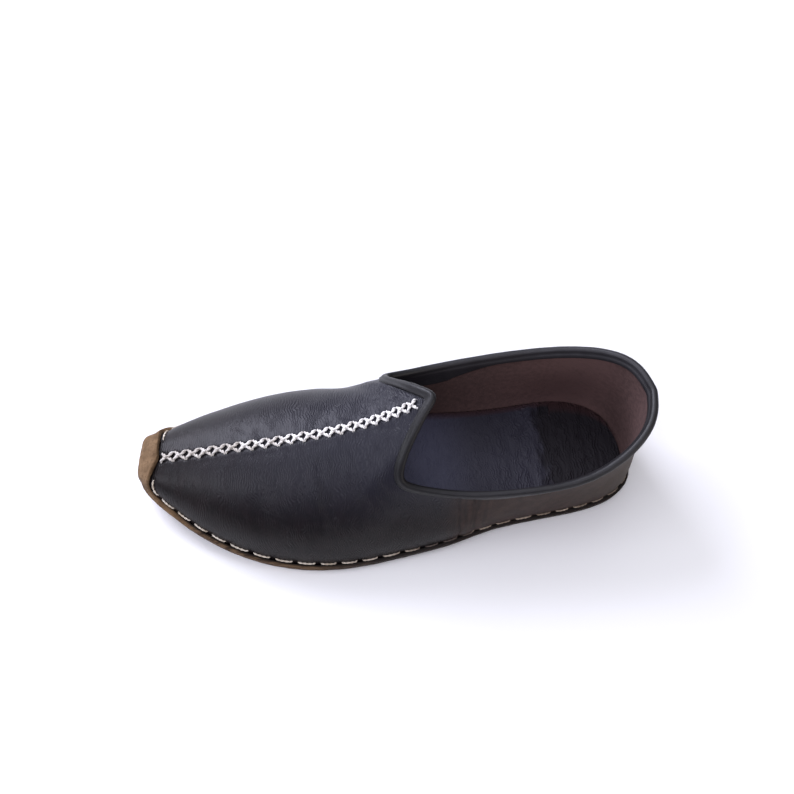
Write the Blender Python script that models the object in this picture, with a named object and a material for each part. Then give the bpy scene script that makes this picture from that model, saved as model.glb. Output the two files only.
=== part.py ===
"""Left slip-on shoe of black leather, built at real size.

A hollow upper stands in a thin leather sole. The sole's lip hugs the foot of the upper, and at the
toe it climbs and folds back over the upper as a blunt beak. A rolled binding runs round the collar
and a leather insole lies on the sole. Tables are in millimetres: x runs forward from the heel,
y to the wearer's left (the outer side of a left shoe) and z up from the floor.
"""

import math
from collections import namedtuple

import bmesh
import bpy
import numpy as np
from mathutils import Vector

# Driving dimensions, in millimetres
SOLE_THICKNESS = 3.6
WALL = 2.2
GAP = 0.35
BINDING_GAP = 0.55
INSOLE_THICKNESS = 2.4
BINDING_RADIUS = 2.1
TOE_SPRING = 11.0
TOE_SPRING_START = 184.0
TOE_SPRING_END = 270.0
ARCH_LIFT = 1.5
ARCH_START = 56.0
ARCH_END = 148.0
QUARTER_STEP = 0.6

# The part's origin, on the floor under the middle of its box, in the tables' frame
ORIGIN_X = 132.55
ORIGIN_Y = 10.5
MM = 0.001

# How finely the curved surfaces are cut into flat faces, and the small step, as a share of a side or
# of a wall, over which their slopes are measured
WALL_STEPS = 9
BEAK_STEPS = 5
TIP_ARC_STEPS = 5
BEAD_ARC_STEPS = 3
SLOPE_STEP = 0.001
WELD_DISTANCE = 0.02

OutlinePoint = namedtuple("OutlinePoint", "place x y")
OUTLINE = [
    OutlinePoint("heel back", 0.0, 4.0),
    OutlinePoint("heel turn, outer", 5.0, 25.5),
    OutlinePoint("heel, outer", 20.0, 35.4),
    OutlinePoint("waist rear, outer", 50.0, 41.3),
    OutlinePoint("waist, outer", 88.0, 48.2),
    OutlinePoint("waist front, outer", 106.0, 54.0),
    OutlinePoint("ball rear, outer", 130.0, 58.4),
    OutlinePoint("ball, outer", 165.0, 62.6),
    OutlinePoint("toes, outer", 205.0, 56.4),
    OutlinePoint("toe taper, outer", 238.0, 39.8),
    OutlinePoint("toe shoulder, outer", 258.5, 22.8),
    OutlinePoint("toe corner, outer", 268.0, 10.8),
    OutlinePoint("toe tip", 268.8, -0.5),
    OutlinePoint("toe corner, inner", 266.2, -11.4),
    OutlinePoint("toe shoulder, inner", 257.5, -21.0),
    OutlinePoint("toe taper, inner", 236.0, -31.8),
    OutlinePoint("ball, inner", 200.0, -40.8),
    OutlinePoint("ball rear, inner", 160.0, -39.4),
    OutlinePoint("waist front, inner", 125.0, -32.6),
    OutlinePoint("waist, inner", 95.0, -30.0),
    OutlinePoint("waist rear, inner", 60.0, -32.6),
    OutlinePoint("heel, inner", 27.0, -32.8),
    OutlinePoint("heel turn, inner", 8.0, -21.6),
]
TOE_TIP_ROW = 12

# The collar's edge from the heel to the throat, with half to either side of the collar's middle
# line. Along is the place of each section's foot on the sole's edge, from 0 at the heel to 1 at the
# toe tip. The lean columns say from where the wall comes up to the edge.
CollarPoint = namedtuple("CollarPoint", "place along x half z lean_x lean_half lean_z")
COLLAR = [
    CollarPoint("heel back", 0.0, -2.0, 0.0, 61.5, 4.0, 0.0, -20.0),
    CollarPoint("heel turn", 0.07, 4.0, 18.2, 60.8, 2.5, -2.5, -20.0),
    CollarPoint("heel side", 0.135, 18.5, 31.2, 55.0, 1.0, -4.0, -18.0),
    CollarPoint("quarter rear", 0.205, 39.0, 38.8, 48.6, 0.0, -4.0, -15.0),
    CollarPoint("quarter middle", 0.31, 72.0, 40.8, 45.4, 0.0, -2.5, -14.0),
    CollarPoint("quarter front", 0.42, 105.0, 38.6, 45.2, 1.0, 0.0, -14.0),
    CollarPoint("throat low", 0.485, 126.7, 35.0, 48.6, 6.0, 4.0, -14.0),
    CollarPoint("throat corner", 0.53, 137.3, 28.2, 57.0, 12.5, 9.5, -14.5),
    CollarPoint("throat edge", 0.565, 129.0, 13.8, 70.8, 23.0, 17.5, -18.5),
]

# The collar's middle line, which leans to the outer side from heel to throat
COLLAR_AXIS_Y = 2.4
COLLAR_AXIS_SLOPE = 0.049

# The ridge of the vamp, from the peak of the throat to the toe. Across and ahead say from where
# the wall comes up to the ridge: from the side, and from further forward along the ridge.
RidgePoint = namedtuple("RidgePoint", "along x y z across ahead")
RIDGE = [
    RidgePoint(0.60, 117.0, 8.2, 80.0, 26.0, 45.0),
    RidgePoint(0.63, 132.0, 9.0, 70.4, 25.5, 32.0),
    RidgePoint(0.67, 151.0, 9.5, 60.9, 26.0, 17.0),
    RidgePoint(0.725, 177.0, 9.4, 52.8, 27.0, 7.0),
    RidgePoint(0.79, 202.0, 8.3, 45.8, 26.0, 1.0),
    RidgePoint(0.86, 224.0, 6.5, 39.0, 21.0, 0.0),
    RidgePoint(0.92, 242.5, 4.4, 32.0, 14.0, 3.0),
    RidgePoint(0.97, 252.5, 2.6, 27.8, 7.5, 8.0),
    RidgePoint(1.0, 256.0, 1.8, 26.2, 0.0, 9.0),
]
PEAK_ALONG = RIDGE[0].along

# How the wall leaves its foot: bulge is how far it leans out and rise how high that lean reaches
WallFoot = namedtuple("WallFoot", "along bulge rise")
WALL_FOOT = [
    WallFoot(0.0, 1.5, 20.0),
    WallFoot(0.12, 2.0, 19.0),
    WallFoot(0.30, 3.5, 16.0),
    WallFoot(0.45, 4.0, 18.0),
    WallFoot(0.60, 4.0, 26.0),
    WallFoot(0.70, 3.5, 24.0),
    WallFoot(0.85, 2.5, 14.5),
    WallFoot(0.95, 3.5, 9.0),
    WallFoot(1.0, 3.5, 8.0),
]

# The sole's lip: its thickness, and how far it climbs the wall on each side as a share of the wall.
# At the toe it turns into the beak.
LipPoint = namedtuple("LipPoint", "along thickness outer inner")
LIP = [
    LipPoint(0.0, 1.6, 0.022, 0.022),
    LipPoint(0.66, 1.6, 0.022, 0.022),
    LipPoint(0.86, 2.3, 0.035, 0.035),
    LipPoint(0.90, 2.5, 0.04, 0.06),
    LipPoint(0.925, 2.5, 0.06, 0.20),
    LipPoint(0.945, 2.5, 0.20, 0.55),
    LipPoint(0.965, 2.5, 0.62, 0.74),
    LipPoint(0.98, 2.5, 0.84, 0.85),
    LipPoint(1.0, 2.5, 0.97, 0.97),
]

# The rounded side of the sole, from its underside up to the lip
SoleSide = namedtuple("SoleSide", "place inset lift")
SOLE_SIDE = [
    SoleSide("tread edge", 3.2, 0.0),
    SoleSide("lower turn", 1.2, 0.3),
    SoleSide("upper turn", 0.2, 1.4),
    SoleSide("widest line", 0.0, 2.6),
]

# How closely the sections stand along each side: closer where the shoe turns sharply
SectionSpan = namedtuple("SectionSpan", "place start end count")
SECTION_SPANS = [
    SectionSpan("heel", 0.0, 0.14, 8),
    SectionSpan("quarter", 0.14, 0.46, 11),
    SectionSpan("throat", 0.46, 0.60, 12),
    SectionSpan("vamp", 0.60, 0.90, 12),
    SectionSpan("toe", 0.90, 1.0, 12),
]

# The quarters overlap the vamp along a side seam
SIDE_SEAM_ALONG = 0.395
SIDE_SEAM_WIDTH = 0.004
STEP_FADE = 0.08

# Over the instep the vamp is eased, fully within one distance of the peak and not at all past another
INSTEP_FULL = 22.0
INSTEP_END = 46.0
INSTEP_EASE = 6

# The leathers, with colours as linear values
Leather = namedtuple("Leather", "name colour roughness")
SOLE_LEATHER = Leather("sole_leather", (0.20, 0.115, 0.055), 0.75)
INSOLE_LEATHER = Leather("insole_leather", (0.018, 0.017, 0.022), 0.5)
UPPER_LEATHER = Leather("upper_leather", (0.022, 0.020, 0.024), 0.42)
BINDING_LEATHER = Leather("binding_leather", (0.030, 0.029, 0.033), 0.4)

OUTER = 1
INNER = -1


def cubic_spline(knots, values):
    """Return a function for the smooth cubic curve through a table's rows."""
    knots = np.asarray(knots, float)
    values = np.asarray(values, float)
    count = len(knots)
    span = np.diff(knots)
    slope = np.diff(values, axis=0) / span[:, None]
    system = np.eye(count)
    bend_load = np.zeros_like(values)
    for i in range(1, count - 1):
        system[i, i - 1 : i + 2] = span[i - 1], 2 * (span[i - 1] + span[i]), span[i]
        bend_load[i] = 6 * (slope[i] - slope[i - 1])
    bend = np.linalg.solve(system, bend_load)

    def at(place):
        place = np.atleast_1d(np.asarray(place, float))
        i = np.clip(np.searchsorted(knots, place) - 1, 0, count - 2)
        b = ((place - knots[i]) / span[i])[:, None]
        a = 1 - b
        cubic = (a**3 - a) * bend[i] + (b**3 - b) * bend[i + 1]
        return a * values[i] + b * values[i + 1] + cubic * (span[i] ** 2)[:, None] / 6

    return at


def straight_table(rows, column):
    """Return a function that reads one column of a table between its rows."""
    knots = [row.along for row in rows]
    values = [getattr(row, column) for row in rows]
    return lambda along: np.interp(along, knots, values)


def smooth_step(low, high, value):
    t = np.clip((value - low) / (high - low), 0, 1)
    return t * t * (3 - 2 * t)


def unit(vectors):
    return vectors / np.linalg.norm(vectors, axis=-1, keepdims=True)


def outline_side(side):
    """Return a function of along for one side of the sole's outline: points and outward normals."""
    wrap = 4
    points = np.array([(row.x, row.y) for row in OUTLINE])
    ring = np.concatenate([points[-wrap:], points, points[: wrap + 1]])
    knots = np.concatenate([[0], np.cumsum(np.linalg.norm(np.diff(ring, axis=0), axis=1))])
    curve = cubic_spline(knots, ring)
    heel, toe, heel_again = knots[wrap], knots[wrap + TOE_TIP_ROW], knots[wrap + len(points)]
    fine = np.linspace(heel, toe, 1500) if side == OUTER else np.linspace(heel_again, toe, 1500)
    line = curve(fine)
    length = np.concatenate([[0], np.cumsum(np.linalg.norm(np.diff(line, axis=0), axis=1))])
    length /= length[-1]
    tangent = unit(np.gradient(line, axis=0))
    normal = np.stack([-tangent[:, 1], tangent[:, 0]], axis=1) * side

    def at(along):
        def read(columns):
            return np.stack([np.interp(along, length, columns[:, k]) for k in (0, 1)], axis=1)

        return read(line), unit(read(normal))

    return at


SIDE_LINES = {OUTER: outline_side(OUTER), INNER: outline_side(INNER)}
ridge_curve = cubic_spline([row.along for row in RIDGE], [(row.x, row.y, row.z) for row in RIDGE])
ridge_reach = cubic_spline([row.along for row in RIDGE], [(row.across, row.ahead) for row in RIDGE])
foot_lean = cubic_spline([row.along for row in WALL_FOOT], [(row.bulge, row.rise) for row in WALL_FOOT])
lip_thickness = straight_table(LIP, "thickness")
lip_climb = {OUTER: straight_table(LIP, "outer"), INNER: straight_table(LIP, "inner")}


def ridge_section(side, along):
    """The ridge's points, and the points from which the wall comes up to them."""
    edge = ridge_curve(along)
    here = np.minimum(along, 1 - SLOPE_STEP)
    forward = unit(ridge_curve(here + SLOPE_STEP) - ridge_curve(here))
    across, ahead = ridge_reach(along).T[:, :, None]
    return edge, edge + np.array([[0.0, side, 0.0]]) * across + forward * ahead


def collar_side(side):
    """A smooth curve for one side of the collar: its points, and whence the wall comes up to them."""
    rows = []
    for row in COLLAR:
        axis = COLLAR_AXIS_Y + COLLAR_AXIS_SLOPE * row.x
        skew = side * row.half * COLLAR_AXIS_SLOPE
        edge = np.array([row.x - skew, axis + side * row.half, row.z])
        rows.append(np.concatenate([edge, edge + (row.lean_x, side * row.lean_half, row.lean_z)]))
    rows.append(np.concatenate(ridge_section(side, np.array([PEAK_ALONG])), axis=1)[0])
    return cubic_spline([row.along for row in COLLAR] + [PEAK_ALONG], rows)


COLLAR_LINES = {OUTER: collar_side(OUTER), INNER: collar_side(INNER)}


def sole_bottom(x):
    """Height of the sole's underside: flat heel and ball, a low arch and the toe spring."""
    spring = np.clip((x - TOE_SPRING_START) / (TOE_SPRING_END - TOE_SPRING_START), 0, None) ** 2
    inside = np.clip((x - ARCH_START) / (ARCH_END - ARCH_START), 0, 1)
    return TOE_SPRING * spring + ARCH_LIFT * np.sin(math.pi * inside) ** 2


def foot_line(side, along, inset, lift):
    """Points inside the sole's edge by inset, at lift above the underside, with the normals."""
    edge, normal = SIDE_LINES[side](along)
    place = edge - normal * np.broadcast_to(inset, along.shape)[:, None]
    height = sole_bottom(place[:, 0]) + lift
    return np.column_stack([place, height]), np.column_stack([normal, np.zeros(len(normal))])


def wall_handles(side, along):
    """The four points that shape each section of the wall, from its foot to its edge."""
    foot, outward = foot_line(side, along, lip_thickness(along) + GAP, SOLE_THICKNESS + GAP)
    bulge, rise = foot_lean(along).T[:, :, None]
    low = foot + outward * bulge + np.array([[0.0, 0.0, 1.0]]) * rise
    collar = COLLAR_LINES[side](np.minimum(along, PEAK_ALONG))
    ridge = np.concatenate(ridge_section(side, np.maximum(along, PEAK_ALONG)), axis=1)
    top = np.where((along < PEAK_ALONG)[:, None], collar, ridge)
    return foot, low, top[:, 3:], top[:, :3]


def bare_wall(side, along, climb):
    """Points on the wall's outer face, with a row of climb values for each section."""
    foot, low, high, edge = (p[:, None, :] for p in wall_handles(side, along))
    s = climb[:, :, None]
    r = 1 - s
    return r**3 * foot + 3 * r * r * s * low + 3 * r * s * s * high + s**3 * edge


def wall_points(side, along, climb, offset=0.0):
    """Points on the upper's outer face, with its quarters proud of the vamp, moved out by offset."""
    on_ridge = along >= PEAK_ALONG
    before = np.maximum(along - SLOPE_STEP, np.where(on_ridge, PEAK_ALONG, 0))
    after = np.minimum(along + SLOPE_STEP, np.where(on_ridge, 1, PEAK_ALONG - SLOPE_STEP))
    below = np.maximum(climb - SLOPE_STEP, 0)
    above = np.minimum(climb + SLOPE_STEP, 1)
    run = bare_wall(side, after, climb) - bare_wall(side, before, climb)
    rise = bare_wall(side, along, above) - bare_wall(side, along, below)
    normal = unit(np.cross(rise, run)) * side
    quarter = smooth_step(0, SIDE_SEAM_WIDTH, SIDE_SEAM_ALONG - along)[:, None]
    fade = np.clip(climb / STEP_FADE, 0, 1) * np.clip((1 - climb) / STEP_FADE, 0, 1)
    lift = np.broadcast_to(offset, along.shape)[:, None] + QUARTER_STEP * quarter * fade
    return bare_wall(side, along, climb) + normal * lift[:, :, None]


def section_places():
    """The sections' places along each side, with two close together at the side seam."""
    seam = np.array([SIDE_SEAM_ALONG - SIDE_SEAM_WIDTH, SIDE_SEAM_ALONG])
    spans = [np.linspace(span.start, span.end, span.count + 1) for span in SECTION_SPANS]
    even = np.concatenate(spans)
    clear = np.abs(even[:, None] - seam).min(axis=1) > SIDE_SEAM_WIDTH
    return np.unique(np.concatenate([even[clear], seam]).round(6))


PLACES = section_places()


def ring_of(make_side):
    """Join both sides' sections into one ring, from the heel round the toe and back."""
    outer = make_side(OUTER)
    inner = make_side(INNER)
    return np.concatenate([outer, inner[-2:0:-1]])


def strip_faces(ring_count, column_count):
    """Quads of a grid that closes round the ring."""
    faces = []
    for i in range(ring_count):
        here = i * column_count
        there = (i + 1) % ring_count * column_count
        for k in range(column_count - 1):
            faces.append((here + k, here + k + 1, there + k + 1, there + k))
    return faces


def leather_material(row):
    material = bpy.data.materials.new(row.name)
    material.use_nodes = True
    shader = material.node_tree.nodes["Principled BSDF"]
    shader.inputs["Base Color"].default_value = (*row.colour, 1.0)
    shader.inputs["Roughness"].default_value = row.roughness
    shader.inputs["Metallic"].default_value = 0.0
    return material


def to_metres(points):
    return (np.asarray(points).reshape(-1, 3) - (ORIGIN_X, ORIGIN_Y, 0.0)) * MM


def add_object(name, data, material, parent):
    data.materials.append(material)
    piece = bpy.data.objects.new(name, data)
    bpy.context.scene.collection.objects.link(piece)
    piece.parent = parent
    return piece


def make_mesh(name, points, faces):
    """A closed mesh whose coinciding points are welded, with its faces pointing out."""
    mesh = bpy.data.meshes.new(name)
    mesh.from_pydata(to_metres(points).tolist(), [], faces)
    work = bmesh.new()
    work.from_mesh(mesh)
    bmesh.ops.remove_doubles(work, verts=work.verts, dist=WELD_DISTANCE * MM)
    bmesh.ops.recalc_face_normals(work, faces=work.faces)
    work.to_mesh(mesh)
    work.free()
    mesh.shade_smooth()
    return mesh


def open_edge_points(mesh):
    """The numbers of the points on a sheet's open edges."""
    uses = {}
    for face in mesh.polygons:
        for key in face.edge_keys:
            uses[key] = uses.get(key, 0) + 1
    return {point for key, count in uses.items() if count == 1 for point in key}


def fair_instep(piece):
    """Ease the surface round the throat's peak, but for its edges, as leather does over the instep."""
    peak = Vector(to_metres(ridge_curve(PEAK_ALONG))[0])
    group = piece.vertex_groups.new(name="instep")
    edges = open_edge_points(piece.data)
    for vertex in piece.data.vertices:
        far = (vertex.co - peak).length / MM
        weight = 1 - float(smooth_step(INSTEP_FULL, INSTEP_END, far))
        if weight > 0 and vertex.index not in edges:
            group.add([vertex.index], weight, "REPLACE")
    ease = piece.modifiers.new("instep ease", "SMOOTH")
    ease.vertex_group = group.name
    ease.factor = 0.5
    ease.iterations = INSTEP_EASE


def make_upper(parent, material):
    """The hollow upper, open at the collar and underneath, with a wall of one thickness."""
    climb = np.tile(np.linspace(0, 1, WALL_STEPS + 1), (len(PLACES), 1))
    grid = ring_of(lambda side: wall_points(side, PLACES, climb))
    mesh = make_mesh("upper", grid, strip_faces(len(grid), WALL_STEPS + 1))
    piece = add_object("upper", mesh, material, parent)
    fair_instep(piece)
    wall = piece.modifiers.new("wall", "SOLIDIFY")
    wall.thickness = WALL * MM
    wall.offset = -1
    wall.use_even_offset = True
    return piece


def plate_between(lines):
    """Faces of a closed band of lines round the ring, with its two ends filled across the shoe.

    Each line is a ring of points. The first is joined across the shoe underneath, the last on top.
    """
    ring_count = len(lines[0])
    half_count = len(PLACES)
    grid = np.stack(lines, axis=1)
    column_count = len(lines)
    faces = strip_faces(ring_count, column_count)
    points = [grid.reshape(-1, 3)]
    first_free = ring_count * column_count
    for column in (0, column_count - 1):
        outer = [i * column_count + column for i in range(half_count)]
        inner = [((ring_count - i) % ring_count) * column_count + column for i in range(half_count)]
        inner[-1] = outer[-1]
        flat = grid.reshape(-1, 3)
        middle_points = (flat[outer] + flat[inner]) / 2
        points.append(middle_points)
        middle = [first_free + i for i in range(half_count)]
        first_free += half_count
        for i in range(half_count - 1):
            faces.append((outer[i], outer[i + 1], middle[i + 1], middle[i]))
            faces.append((middle[i], middle[i + 1], inner[i + 1], inner[i]))
    return np.concatenate(points), faces


def make_outsole(parent, material):
    """The sole: a plate with a rounded side and a lip that becomes the beak at the toe."""
    steps = np.linspace(0, 1, BEAK_STEPS + 1)

    def lip_face(side, offset):
        climb = lip_climb[side](PLACES)[:, None] * steps[None, :]
        return wall_points(side, PLACES, climb, offset)

    def edge_line(inset, lift):
        return ring_of(lambda side: foot_line(side, PLACES, inset, lift)[0])

    thickness = lip_thickness(PLACES)
    outside = ring_of(lambda side: lip_face(side, GAP + thickness))
    inside = ring_of(lambda side: lip_face(side, GAP))
    lines = [edge_line(row.inset, row.lift) for row in SOLE_SIDE]
    lines += [outside[:, k] for k in range(BEAK_STEPS + 1)]
    lines += [inside[:, k] for k in range(BEAK_STEPS, -1, -1)]
    lines.append(edge_line(thickness, SOLE_THICKNESS))
    points, faces = plate_between(lines)
    return add_object("outsole", make_mesh("outsole", points, faces), material, parent)


def make_insole(parent, material):
    """The insole: a thin plate that fills the floor inside the upper."""
    inset = lip_thickness(PLACES) + 2 * GAP + WALL
    low = SOLE_THICKNESS + GAP
    high = low + INSOLE_THICKNESS

    def edge_line(lift):
        return ring_of(lambda side: foot_line(side, PLACES, inset, lift)[0])

    points, faces = plate_between([edge_line(low), edge_line(high)])
    return add_object("insole", make_mesh("insole", points, faces), material, parent)


def binding_path():
    """The middle line of the collar's rolled binding, which sits on the upper's edge."""
    places = PLACES[PLACES <= PEAK_ALONG]
    reach = BINDING_RADIUS + BINDING_GAP
    halves = {}
    for side in (OUTER, INNER):
        _, _, high, edge = wall_handles(side, places)
        run = unit(np.gradient(edge, axis=0))
        beyond = edge - high
        beyond -= run * (beyond * run).sum(axis=1, keepdims=True)
        halves[side] = (edge, unit(beyond))
    peak, outer_way = halves[OUTER][0][-1], halves[OUTER][1][-1]
    inner_way = halves[INNER][1][-1]
    turn = np.linspace(0, 1, TIP_ARC_STEPS)[1:-1, None]
    tip = peak + unit(outer_way * (1 - turn) + inner_way * turn) * reach
    outer = halves[OUTER][0] + halves[OUTER][1] * reach
    inner = halves[INNER][0] + halves[INNER][1] * reach
    return np.concatenate([outer, tip, inner[:0:-1]])


def make_binding(parent, material):
    """The collar's binding: leather rolled to a round bead along the whole opening."""
    path = to_metres(binding_path())
    curve = bpy.data.curves.new("collar_binding", "CURVE")
    curve.dimensions = "3D"
    line = curve.splines.new("POLY")
    line.points.add(len(path) - 1)
    for point, place in zip(line.points, path):
        point.co = (*place, 1.0)
    line.use_cyclic_u = True
    curve.bevel_depth = BINDING_RADIUS * MM
    curve.bevel_resolution = BEAD_ARC_STEPS
    return add_object("collar_binding", curve, material, parent)


def main():
    for old in list(bpy.data.objects):
        bpy.data.objects.remove(old)
    shoe = bpy.data.objects.new("slip_on_shoe", None)
    bpy.context.scene.collection.objects.link(shoe)
    make_outsole(shoe, leather_material(SOLE_LEATHER))
    make_insole(shoe, leather_material(INSOLE_LEATHER))
    make_upper(shoe, leather_material(UPPER_LEATHER))
    make_binding(shoe, leather_material(BINDING_LEATHER))


main()
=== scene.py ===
# %% [markdown]
# # A left slip-on shoe of black leather
# This lesson dresses the solid model of a hand-sewn slip-on. The real shoe is made of a black
# leather upper with a brown lining, a rolled binding round the opening, a wrinkled insole and a
# thin tan sole that folds up over the toe. White cross-stitches close its centre seam, and a
# running stitch holds the upper to the sole. The solids are already the right size, so every new
# piece here starts from one of them or lies on one of them.

# %% Load the solid model
import math
from collections import namedtuple

import bmesh
import bpy
import numpy as np
from mathutils import Matrix, Vector, noise
from mathutils.bvhtree import BVHTree


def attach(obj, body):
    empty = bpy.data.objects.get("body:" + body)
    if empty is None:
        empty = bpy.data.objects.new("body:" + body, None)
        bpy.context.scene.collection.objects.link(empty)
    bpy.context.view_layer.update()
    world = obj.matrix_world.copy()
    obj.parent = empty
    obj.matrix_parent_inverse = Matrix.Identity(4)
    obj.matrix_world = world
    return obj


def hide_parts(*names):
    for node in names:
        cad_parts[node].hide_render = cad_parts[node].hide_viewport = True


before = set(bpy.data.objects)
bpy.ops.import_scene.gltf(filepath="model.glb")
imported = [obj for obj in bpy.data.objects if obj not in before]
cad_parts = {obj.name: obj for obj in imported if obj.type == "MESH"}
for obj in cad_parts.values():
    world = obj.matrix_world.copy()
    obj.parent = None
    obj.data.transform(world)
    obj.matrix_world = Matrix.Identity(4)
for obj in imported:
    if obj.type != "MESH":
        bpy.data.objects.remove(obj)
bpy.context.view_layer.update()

MM = 0.001


# %% [markdown]
# ## The camera
# The photograph looks down at the outer side of the shoe from over the wearer's left. A camera is
# added with an operator and turned by a matrix whose columns are its right, up and back
# directions. The small roll is the tilt at which the picture was taken. The lens follows from the
# focal length in pixels, because the picture's width covers the whole sensor.

# %% Camera
PICTURE_PIXELS = 794
FOCAL_PIXELS = 1068.6
CAMERA_PLACE = Vector((39.55, 271.5, 529.5)) * MM
CAMERA_TARGET = Vector((-5.05, -38.2, 25.0)) * MM
CAMERA_ROLL = math.radians(3.41)
NEAR_CLIP = 0.01
UP = Vector((0, 0, 1))

bpy.ops.object.camera_add(location=CAMERA_PLACE)
camera = bpy.context.object
camera.name = "photo_camera"
camera.data.sensor_fit = "HORIZONTAL"
camera.data.lens = camera.data.sensor_width * FOCAL_PIXELS / PICTURE_PIXELS
camera.data.clip_start = NEAR_CLIP
ahead = (CAMERA_TARGET - CAMERA_PLACE).normalized()
right = ahead.cross(UP).normalized()
above = right.cross(ahead)
turned_right = math.cos(CAMERA_ROLL) * right + math.sin(CAMERA_ROLL) * above
turned_up = math.cos(CAMERA_ROLL) * above - math.sin(CAMERA_ROLL) * right
camera.rotation_euler = Matrix((turned_right, turned_up, -ahead)).transposed().to_euler()
bpy.context.scene.camera = camera
print("lens", round(camera.data.lens, 2), "mm")

# %% [markdown]
# ## Floor and light
# The shoe stands on a plain pale floor. A dark glossy skin shows what it mirrors more than its own
# colour, so each lamp stands where some part of the shoe mirrors it. A broad cool light behind the
# shoe puts the grey sheen on top of the vamp, and one above brightens the floor. Another over the
# near side and a fill before the toe lift the vamp, and a weak warm fill serves the heel.

# %% Floor and lights
FLOOR_SIZE = 6.0
FLOOR_DROP = 0.0002
ROOM_COLOUR = (0.88, 0.90, 1.0, 1.0)
ROOM_STRENGTH = 0.14
Lamp = namedtuple("Lamp", "name place aim size watts colour")
LAMPS = [
    Lamp("window_light", (0.66, -0.90, 0.76), (0.03, 0.0, 0.03), 0.80, 21.0, (0.85, 0.86, 1.0)),
    Lamp("ceiling_light", (0.0, -0.45, 1.5), (0.0, 0.0, 0.0), 1.5, 10.0, (0.94, 0.95, 1.0)),
    Lamp("room_light", (0.20, 0.65, 1.2), (0.05, 0.0, 0.03), 0.8, 7.0, (0.86, 0.85, 1.0)),
    Lamp("toe_fill", (1.05, 0.12, 0.70), (0.10, 0.0, 0.03), 0.6, 6.0, (0.88, 0.90, 1.0)),
    Lamp("heel_fill", (-0.75, 0.55, 0.45), (-0.06, 0.0, 0.03), 0.6, 2.4, (1.0, 0.92, 0.84)),
]

bpy.ops.mesh.primitive_plane_add(size=FLOOR_SIZE, location=(0, 0, -FLOOR_DROP))
floor = bpy.context.object
floor.name = "floor"
for lamp in LAMPS:
    towards = Vector(lamp.aim) - Vector(lamp.place)
    bpy.ops.object.light_add(
        type="AREA", location=lamp.place, rotation=towards.to_track_quat("-Z", "Y").to_euler()
    )
    light = bpy.context.object
    light.name = lamp.name
    light.data.size = lamp.size
    light.data.energy = lamp.watts
    light.data.color = lamp.colour
world = bpy.data.worlds.new("studio")
world.use_nodes = True
world.node_tree.nodes["Background"].inputs["Color"].default_value = ROOM_COLOUR
world.node_tree.nodes["Background"].inputs["Strength"].default_value = ROOM_STRENGTH
bpy.context.scene.world = world
bpy.context.scene.view_settings.view_transform = "Standard"
print("lamps:", [lamp.name for lamp in LAMPS])

# %% [markdown]
# ## Writing finishes as sums
# A leather finish is a chain of small sums on the place of a point: how wrinkled it is here, how
# worn, how dusty. The class below lets those sums be written as plain Python. Each + or * on a
# wire adds one Math node, and 1 - wire works too.

# %% Wires
class Wire:
    """One output in a material's node tree."""

    def __init__(self, tree, socket):
        self.tree = tree
        self.socket = socket

    def math(self, operation, first, second):
        node = self.tree.nodes.new("ShaderNodeMath")
        node.operation = operation
        feed(self.tree, node.inputs[0], first)
        feed(self.tree, node.inputs[1], second)
        return Wire(self.tree, node.outputs[0])

    def __add__(self, other):
        return self.math("ADD", self, other)

    def __sub__(self, other):
        return self.math("SUBTRACT", self, other)

    def __rsub__(self, other):
        return self.math("SUBTRACT", other, self)

    def __mul__(self, other):
        return self.math("MULTIPLY", self, other)

    def __truediv__(self, other):
        return self.math("DIVIDE", self, other)

    __radd__ = __add__
    __rmul__ = __mul__


def feed(tree, socket, value):
    """Link a wire to a socket, or set a plain value on it."""
    if isinstance(value, Wire):
        tree.links.new(value.socket, socket)
    else:
        socket.default_value = value


print("wires can be added, subtracted, multiplied and divided")

# %% [markdown]
# ## A material with its usual nodes
# Every leather needs the place of a point, noise, soft steps, mixed colours and bump. They could be
# groups, but methods read more easily. All come from the one method node, which sets a node's
# settings first and then feeds its sockets. The floor gets the first finish.

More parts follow.
